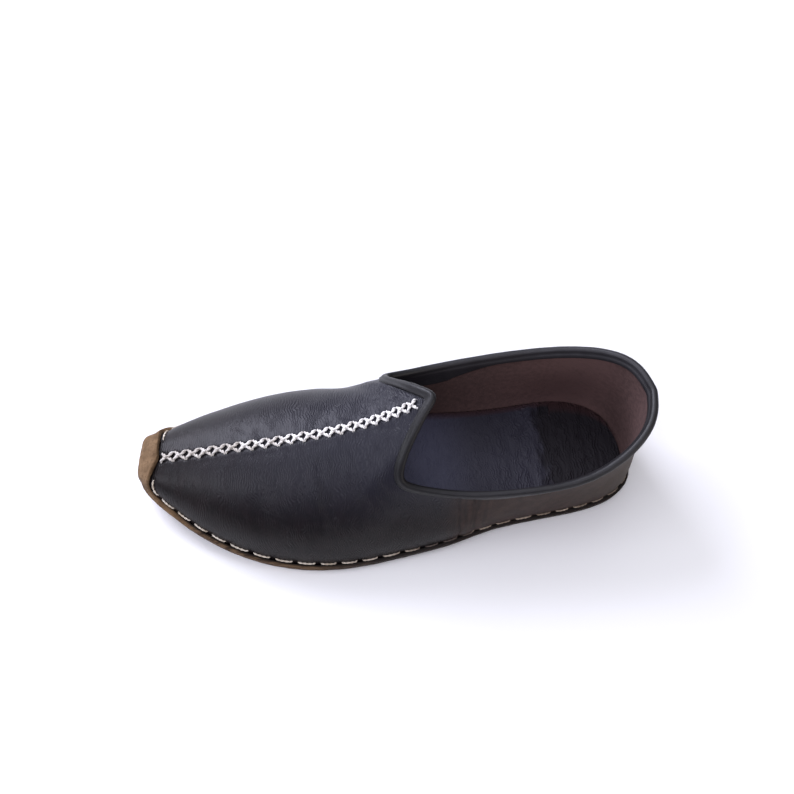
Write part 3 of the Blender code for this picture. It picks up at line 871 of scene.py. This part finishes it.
def near_line(points, start, end):
    """Distance from a straight line between two places, and how far along it."""
    start, end = np.array(start, float), np.array(end, float)
    way = end - start
    share = np.clip(((points - start) @ way) / (way @ way), 0, 1)
    return np.linalg.norm(points - start - share[:, None] * way, axis=1), share


def from_ring(points, ring):
    """Distance of each point from a ring, measured to every eighth of the ring's points."""
    return np.min([np.linalg.norm(points - points[i], axis=1) for i in ring[::8]], axis=0)


print("folds:", [fold.place for fold in FOLDS])

# %% [markdown]
# ## Shaping the outer skin
# The skin could be sculpted by hand, but sums can be repeated exactly. All bumps and dents are
# added up as one height per point, and the points then move once along their normals.

# %% Shape the outer skin
WAVE_DEPTH, LONG_WAVE, SHORT_WAVE = 0.28, 26, 11
SEAM_TROUGH, TROUGH_WIDTH = 0.45, 1.1
SEAM_RIDGE, RIDGE_WIDTH, RIDGE_AWAY = 0.30, 1.8, 3.4
SideSeam = namedtuple("SideSeam", "line x lean depth")
SIDE_SEAMS = [
    SideSeam("overlap edge", -30.2, 0.065, 0.70),
    SideSeam("stitched line", -38.2, 0.085, 0.60),
]
SIDE_SEAM_WIDTH, SIDE_SEAM_MIDDLE = 0.9, 25
DIMPLE_DEPTH, DIMPLE_RADIUS = 0.55, 1.1
RUN_PINCH, CROSS_PINCH = 0.5, 0.6

places, outward = points_of(upper) / MM, normals_of(upper)
x, y, z = places.T
waves = np.array(
    [noise.noise(Vector(p) / LONG_WAVE) + 0.5 * noise.noise(Vector(p) / SHORT_WAVE) for p in places]
)
from_collar = from_ring(places, collar_ring)
held = smooth(3, 14, from_collar) * smooth(2, 10, from_ring(places, foot_ring))

relief = WAVE_DEPTH * waves * held
across = np.abs(y - np.interp(x, seam_x, seam_y))
on_vamp = smooth(-16, -8, x) * smooth(0.2, 0.5, outward[:, 2])
ridge = SEAM_RIDGE * swell(across - RIDGE_AWAY, RIDGE_WIDTH)
relief += on_vamp * (ridge - SEAM_TROUGH * swell(across, TROUGH_WIDTH))
for seam in SIDE_SEAMS:
    apart = x - seam.x - seam.lean * (z - SIDE_SEAM_MIDDLE)
    line = seam.depth * swell(apart, SIDE_SEAM_WIDTH)
    relief -= line * smooth(1, 5, from_collar) * smooth(60, 50, z)
for fold in FOLDS:
    apart, share = near_line(places, fold.start, fold.end)
    relief -= fold.depth * swell(apart, fold.width) * np.sin(np.pi * share) * held
pinch_and_shade = RUN_PINCH * near_points(places, sole_holes / MM, DIMPLE_RADIUS)
for holes in cross_holes.values():
    pinch_and_shade = np.maximum(pinch_and_shade, CROSS_PINCH * near_points(places, holes / MM, DIMPLE_RADIUS))
relief -= DIMPLE_DEPTH * pinch_and_shade
move_points(upper, (places + outward * relief[:, None]) * MM)
# The dimples are also kept as a mark, so that the finish paints shade in them.
mark_points(upper, "pinch_and_shade", pinch_and_shade)
skin = surface_of(upper)
print("relief from", round(relief.min(), 2), "to", round(relief.max(), 2), "mm")

# %% [markdown]
# ## The middle of the bead
# A strip of black leather is folded over the edge of the upper and rolled into a bead. The solid
# has the bead alone. Its middle line is found by drawing every point of the tube inwards by the
# bead's radius and merging the points that meet. A table of points would do as well, but this line
# follows the solid when it changes.

# %% Find the middle line of the bead
BEAD_RADIUS = 2.1 * MM
BEAD_STEP = 1.2 * MM
MEETING = 0.5 * MM

bead_wire = welded_copy("collar_binding", "bead_wire")
move_points(bead_wire, points_of(bead_wire) - normals_of(bead_wire) * BEAD_RADIUS)
edit(bead_wire)
bpy.ops.mesh.remove_doubles(threshold=MEETING)
done()
neighbours = {}
for edge in bead_wire.data.edges:
    a, b = edge.vertices
    neighbours.setdefault(a, []).append(b)
    neighbours.setdefault(b, []).append(a)
wire_points = points_of(bead_wire)
order = [int(np.argmin(wire_points[:, 0]))]
order.append(max(neighbours[order[0]], key=lambda i: wire_points[i][1]))
while len(order) < len(wire_points):
    order.append(next(i for i in neighbours[order[-1]] if i != order[-2]))
bead_line = wire_points[order + order[:1]]
bead_length = along_line(bead_line)[-1]
bead_count = round(bead_length / BEAD_STEP)
bead_line = resampled(bead_line, np.linspace(0, bead_length, bead_count, endpoint=False))
bead_line = softened(bead_line, 1)
bpy.data.objects.remove(bead_wire)
print("bead points:", len(bead_line), "length", round(bead_length / MM), "mm")

# %% [markdown]
# ## Which way the fold lies
# At each place of the bead two directions are needed: up past the edge of the wall, and out from
# the skin. The outer flap tapers into the skin so that bead and flap read as one roll, and is short
# along the throat. The inner flap is a dark band above the lining, and widest beside the throat.

# %% Find the directions of the fold
WALL = 2.2 * MM
OUTER_SHORTER, INNER_LONGER = 0.82, 10.0

inside = surface_of(lining)
nearest = [skin.find_nearest(p) for p in bead_line]
rim = softened(np.array([place for place, _, _, _ in nearest]), 1)
rim_out = softened(np.array([normal for _, normal, _, _ in nearest]), 3)
rim_up = bead_line - rim
rim_up /= np.linalg.norm(rim_up, axis=1, keepdims=True)
rim_out -= rim_up * (rim_out * rim_up).sum(axis=1, keepdims=True)
rim_out /= np.linalg.norm(rim_out, axis=1, keepdims=True)
outer_reach = 1 - OUTER_SHORTER * smooth(-55, -18, rim[:, 0] / MM)
inner_reach = 1 + INNER_LONGER * smooth(-62, -15, rim[:, 0] / MM)
print("flaps reach, outer:", outer_reach.min().round(2), "inner:", inner_reach.max().round(2))

# %% [markdown]
# ## The folded binding
# One profile of the fold is carried along the bead. A curve with a bevel could sweep it, but its
# flaps would leave the leather, so the mesh is made row by row: each profile point is a place away
# from the wall and up past its edge, and the points of a flap are laid on the skin that it covers.

# %% Sweep the binding along the bead
BEAD_FULLNESS, BEAD_LUMPS, BEAD_LUMP_SIZE = 0.94, 0.05, 9 * MM
BEAD_ANGLES = np.radians([-50, -25, 0, 25, 50, 72, 90, 108, 130, 155, 180, 205])
# Each point of the profile is out from the wall and up past its edge, in millimetres.
OUTER_FLAP = [
    (0.02, -3.9), (0.13, -3.75), (0.36, -3.2), (0.64, -2.2),
    (0.90, -1.1), (1.10, -0.2), (1.22, 0.4),
]
INNER_FLAP = [
    (-2.35, 1.2), (-2.60, 0.0), (-2.60, -0.3), (-2.60, -0.55),
    (-2.60, -0.8), (-2.60, -1.0), (-2.52, -1.1), (-2.22, -1.15),
]
UNDERSIDE = [(-2.22, -0.6), (-2.22, 0.05), (-1.1, 0.1), (0.01, 0.05), (0.01, -1.6), (0.01, -3.0)]


def laid(out, up, i):
    """A profile point at place i of the bead: past the edge, on the outer skin or on the lining."""
    if up >= 0:
        return rim[i] + (rim_out[i] * out + rim_up[i] * up) * MM
    if out > -1:
        place, normal, _, _ = skin.find_nearest(rim[i] + rim_up[i] * up * outer_reach[i] * MM)
        return np.array(place + normal * out * MM)
    below = rim[i] + rim_up[i] * up * inner_reach[i] * MM - rim_out[i] * WALL
    place, normal, _, _ = inside.find_nearest(below)
    return np.array(place - normal * (out * MM + WALL))


rows = []
for i, middle in enumerate(bead_line):
    lumps = BEAD_LUMPS * noise.noise(Vector(middle) / BEAD_LUMP_SIZE)
    radius = BEAD_RADIUS * (BEAD_FULLNESS + lumps)
    row = [laid(out, up, i) for out, up in OUTER_FLAP]
    for t in BEAD_ANGLES:
        row.append(middle + radius * (math.cos(t) * rim_out[i] + math.sin(t) * rim_up[i]))
    row += [laid(out, up, i) for out, up in INNER_FLAP + UNDERSIDE]
    rows.append(row)
rows = np.array(rows)
ring_count, column_count = rows.shape[:2]
numbers = np.arange(ring_count * column_count).reshape(ring_count, column_count)
next_row, next_column = np.roll(numbers, -1, axis=0), np.roll(numbers, -1, axis=1)
corners = (numbers, next_row, np.roll(next_row, -1, axis=1), next_column)
quads = np.stack(corners, axis=2).reshape(-1, 4).tolist()
binding_mesh = bpy.data.meshes.new("binding")
binding_mesh.from_pydata(rows.reshape(-1, 3).tolist(), [], quads)
binding = bpy.data.objects.new("binding", binding_mesh)
bpy.context.scene.collection.objects.link(binding)
binding.data.materials.append(binding_finish.material)
edit(binding)
bpy.ops.mesh.normals_make_consistent(inside=False)
done()
bpy.ops.object.shade_smooth()
print("binding faces:", len(binding.data.polygons))

# %% [markdown]
# ## Closing the wall
# The outer skin and the lining are joined into one piece again, and the two open edges are bridged,
# so that the wall is closed as it is on the solid. Solidify could have made the wall from one skin,
# but then the lining would carry the seams and dimples of the outside.

# %% Join the skins and bridge their edges
SPLIT_HEIGHT = 30 * MM

upper.data.materials.append(upper_finish.material)
lining.data.materials.append(lining_finish.material)
pick(upper, lining)
bpy.ops.object.join()
for is_collar in (True, False):
    edit(upper, "DESELECT")
    work = bmesh.from_edit_mesh(upper.data)
    for edge in work.edges:
        high = (edge.verts[0].co.z + edge.verts[1].co.z) / 2 > SPLIT_HEIGHT
        edge.select_set(edge.is_boundary and high == is_collar)
    bmesh.update_edit_mesh(upper.data)
    bpy.ops.mesh.select_mode(type="EDGE")
    bpy.ops.mesh.bridge_edge_loops()
    done()
edit(upper)
bpy.ops.mesh.normals_make_consistent(inside=False)
done()
print("upper faces:", len(upper.data.polygons))
print("upper materials:", [material.name for material in upper.data.materials])

# %% [markdown]
# ## A length of thread
# Both seams are sewn with thick two-ply thread. One length is modelled: two thin cylinders side by
# side are cut into rings and twisted by a Simple Deform modifier.

# %% Model a length of thread
THREAD_RADIUS = 0.84 * MM
PLY_SHARE = 0.62
PLY_OFFSET = 0.40
PLY_SIDES = 8
RING_CUTS = 21
LENGTHWISE = 0.5
TURNS = 2.0

plies = []
for side in (1, -1):
    bpy.ops.mesh.primitive_cylinder_add(
        vertices=PLY_SIDES,
        radius=PLY_SHARE * THREAD_RADIUS,
        depth=1.0,
        rotation=(0, math.pi / 2, 0),
        location=(0, side * PLY_OFFSET * THREAD_RADIUS, 0),
    )
    plies.append(bpy.context.object)
pick(*plies)
bpy.ops.object.join()
bpy.ops.object.transform_apply(location=True, rotation=True, scale=True)
thread = bpy.context.object
edit(thread, "DESELECT")
bpy.ops.mesh.select_mode(type="EDGE")
work = bmesh.from_edit_mesh(thread.data)
for edge in work.edges:
    edge.select_set(abs(edge.verts[0].co.x - edge.verts[1].co.x) > LENGTHWISE)
bmesh.update_edit_mesh(thread.data)
bpy.ops.mesh.subdivide(number_cuts=RING_CUTS)
done()
apply_modifier(
    thread, "SIMPLE_DEFORM", deform_method="TWIST", deform_axis="X", angle=TURNS * 2 * math.pi
)
print("faces of one thread:", len(thread.data.polygons))

# %% [markdown]
# ## Sewing both seams
# Each stitch is a copy of the thread that runs from hole to hole over the leather, dives at both
# ends and is thinner there. Of the two threads of a cross, the second humps over the first. The
# running stitch is of finer thread, and finest at the heel.

# %% Lay the stitches
DIVE = 0.6 * THREAD_RADIUS
END_THINNING = 0.4
PATH_STEPS = 25
CROSS_FATNESS, CROSS_LIFT = 1.1, 0.5 * THREAD_RADIUS
CROSS_HUMPS = {1: 0.1 * THREAD_RADIUS, -1: 1.3 * THREAD_RADIUS}
RUN_LIFT, RUN_HUMP = 0.3 * THREAD_RADIUS, 0.2 * THREAD_RADIUS
HEEL_FATNESS, TOE_FATTER = 0.52, 0.10
RUN_POINTS = 9


def lay_thread(path, lift, hump, fatness):
    """A copy of the thread on the skin between two holes, lifted, with a hump in the middle."""
    shape = points_of(thread)
    t = shape[:, 0] + 0.5
    steps = np.linspace(0, 1, PATH_STEPS)
    found = [skin.find_nearest(p) for p in resampled(path, steps * along_line(path)[-1])]
    line = np.array([place for place, _, _, _ in found])
    normal = np.array([way for _, way, _, _ in found])
    side = np.cross(normal, np.gradient(line, axis=0))
    side /= np.linalg.norm(side, axis=1, keepdims=True)

    def read(columns):
        return np.column_stack([np.interp(t, steps, columns[:, k]) for k in range(3)])

    ends = np.abs(2 * t - 1)
    height = lift + hump * (1 - ends**2) - (lift + DIVE) * ends**16
    thin = (fatness * (1 - END_THINNING * ends**4))[:, None]
    points = read(line) + read(normal) * (height[:, None] + shape[:, 2:3] * thin)
    points += read(side) * shape[:, 1:2] * thin
    copy = bpy.data.objects.new("stitch", thread.data.copy())
    bpy.context.scene.collection.objects.link(copy)
    move_points(copy, points)
    return copy


def joined(stitches, name, finish):
    """All the stitches of a seam as one piece."""
    pick(*stitches)
    bpy.ops.object.join()
    bpy.ops.object.shade_smooth()
    seam = bpy.context.object
    seam.name = seam.data.name = name
    seam.data.materials.append(finish.material)
    return seam


crosses = []
for i in range(CROSSES):
    for side, hump in CROSS_HUMPS.items():
        path = np.array([cross_holes[side][i], cross_holes[-side][i + 1]])
        crosses.append(lay_thread(path, CROSS_LIFT, hump, CROSS_FATNESS))
running = []
for start, end in dashes:
    path = resampled(sole_run, np.linspace(start, end, RUN_POINTS))
    middle_x = path[RUN_POINTS // 2, 0] / MM
    fatness = HEEL_FATNESS + TOE_FATTER * float(smooth(-40, 60, middle_x))
    running.append(lay_thread(path, RUN_LIFT, RUN_HUMP, fatness))
cross_stitch = joined(crosses, "cross_stitch", thread_finish)
running_stitch = joined(running, "running_stitch", waxed_finish)
bpy.data.objects.remove(thread)
print("stitch faces:", len(cross_stitch.data.polygons), len(running_stitch.data.polygons))

# %% [markdown]
# ## The insole
# The sock inside is black leather, pressed into folds across the foot in front of a line at the
# heel seat. The plate is subdivided without smoothing, so that its outline stays, and its top is
# then raised and lowered: a ridge at the line, a step down behind it, and folds that die away
# towards the toe.

# %% Fold the insole
SEAT_LINE = HEEL_SEAT_LINE / MM
INSOLE_LEVELS = 3
TOP_FACING = 0.7
RIDGE_HEIGHT, RIDGE_BEFORE, RIDGE_SPREAD = 0.4, 2.0, 2.0
STEP_DOWN, STEP_HALF_WIDTH = 0.4, 1.5
WANDER = 3.0
RIPPLE_DEPTH, FOLD_DEPTH = 0.32, 0.65
SEAT_RIPPLE, SEAT_FOLD = 0.2, 0.35
FOLDS_LEFT, FOLDS_REACH = 0.22, 16


def sheet_noise(along, across, length, width, layer):
    """Noise on a flat sheet in grains of this length and width. The layer picks the pattern."""
    grains = zip(along / length, across / width)
    return np.array([noise.noise(Vector((a, b, layer))) for a, b in grains])


insole = welded_copy("insole", "insole_sock")
subdivide(insole, INSOLE_LEVELS, "SIMPLE")
places = points_of(insole) / MM
on_top = np.ones(len(places))
for face in insole.data.polygons:
    if face.normal.z < TOP_FACING:
        on_top[list(face.vertices)] = 0.0
x, y = places[:, 0], places[:, 1]
bent = x + WANDER * sheet_noise(x, y, 18, 11, layer=3.0)
ripples = sheet_noise(bent, y, 1.7, 10, layer=1.0)
folds = sheet_noise(bent, y, 3.4, 16, layer=7.0)
in_front = smooth(SEAT_LINE - STEP_HALF_WIDTH, SEAT_LINE + STEP_HALF_WIDTH, bent)
fading = FOLDS_LEFT + (1 - FOLDS_LEFT) * np.exp(-np.clip(bent - SEAT_LINE, 0, None) / FOLDS_REACH)
ridge = RIDGE_HEIGHT * swell(bent - SEAT_LINE - RIDGE_BEFORE, RIDGE_SPREAD)
before = ridge + fading * (RIPPLE_DEPTH * ripples + FOLD_DEPTH * folds)
behind = SEAT_RIPPLE * ripples + SEAT_FOLD * folds - STEP_DOWN
places[:, 2] += on_top * (in_front * before + (1 - in_front) * behind)
move_points(insole, places * MM)
mark_points(insole, "rim", 1.0 - on_top)
insole.data.materials.append(insole_finish.material)
pick(insole)
bpy.ops.object.shade_smooth_by_angle(angle=SHARP_ANGLE)
print("insole faces:", len(insole.data.polygons))

# %% [markdown]
# ## Riding and replacing
# Each piece rides on the shoe's one body. The pieces made from solids stand for them.

# %% Hand over
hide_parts("upper")
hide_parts("outsole")
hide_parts("insole")
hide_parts("collar_binding")
PIECES = (upper, sole, insole, binding, cross_stitch, running_stitch)
for piece in PIECES:
    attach(piece, "root")
print("riding:", [piece.name for piece in PIECES])
